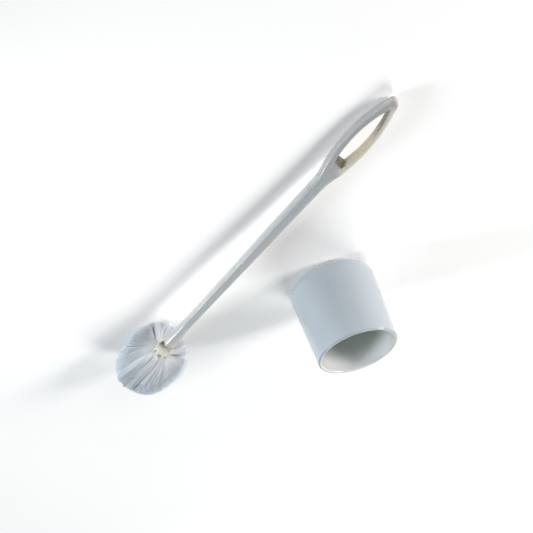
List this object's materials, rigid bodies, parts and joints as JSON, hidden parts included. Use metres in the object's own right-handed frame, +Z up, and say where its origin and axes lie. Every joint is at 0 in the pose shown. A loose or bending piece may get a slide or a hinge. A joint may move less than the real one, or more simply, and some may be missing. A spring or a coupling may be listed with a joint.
{
  "type": "toilet brush with holder cup",
  "caption": "Round-bristled toilet brush with a slim stem and a lens-shaped finger loop, lying beside its open, thick-rimmed holder cup.",
  "frame": {"origin": "centre of the cup's base, on the floor that the cup and the brush stand and lie on", "axes": "+Z up out of the cup's mouth; the brush lies along X on the -Y side, with its finger loop towards -X"},
  "size_m": [0.4466, 0.2386, 0.098],
  "materials": {
    "cup_plastic": "glossy moulded white, faintly cool",
    "handle_plastic": "satin-gloss moulded white, aged beige inside the finger opening",
    "hub_plastic": "plain moulded plastic, warm off-white",
    "bristle": "dense drawn filaments, cool white",
    "anchor_metal": "flat stamped wire"
  },
  "bodies": {
    "holder": {"cup": "cup_plastic"},
    "brush": {"handle": "handle_plastic", "head_core": "hub_plastic", "tuft_row_1": "bristle", "tuft_row_2": "bristle", "tuft_row_3": "bristle", "tuft_row_4": "bristle", "tuft_row_5": "bristle", "tuft_row_6": "bristle", "tuft_row_7": "bristle", "tuft_row_8": "bristle", "tuft_row_end": "bristle", "anchor_row_1": "anchor_metal", "anchor_row_2": "anchor_metal", "anchor_row_3": "anchor_metal", "anchor_row_4": "anchor_metal", "anchor_row_5": "anchor_metal", "anchor_row_6": "anchor_metal", "anchor_row_7": "anchor_metal", "anchor_row_8": "anchor_metal", "anchor_row_end": "anchor_metal"}
  },
  "joints": [
    {"name": "brush_lift", "type": "slide", "parent": "holder", "child": "brush", "axis": [0, 0, 1], "range_m": [0, 0.2]}
  ]
}
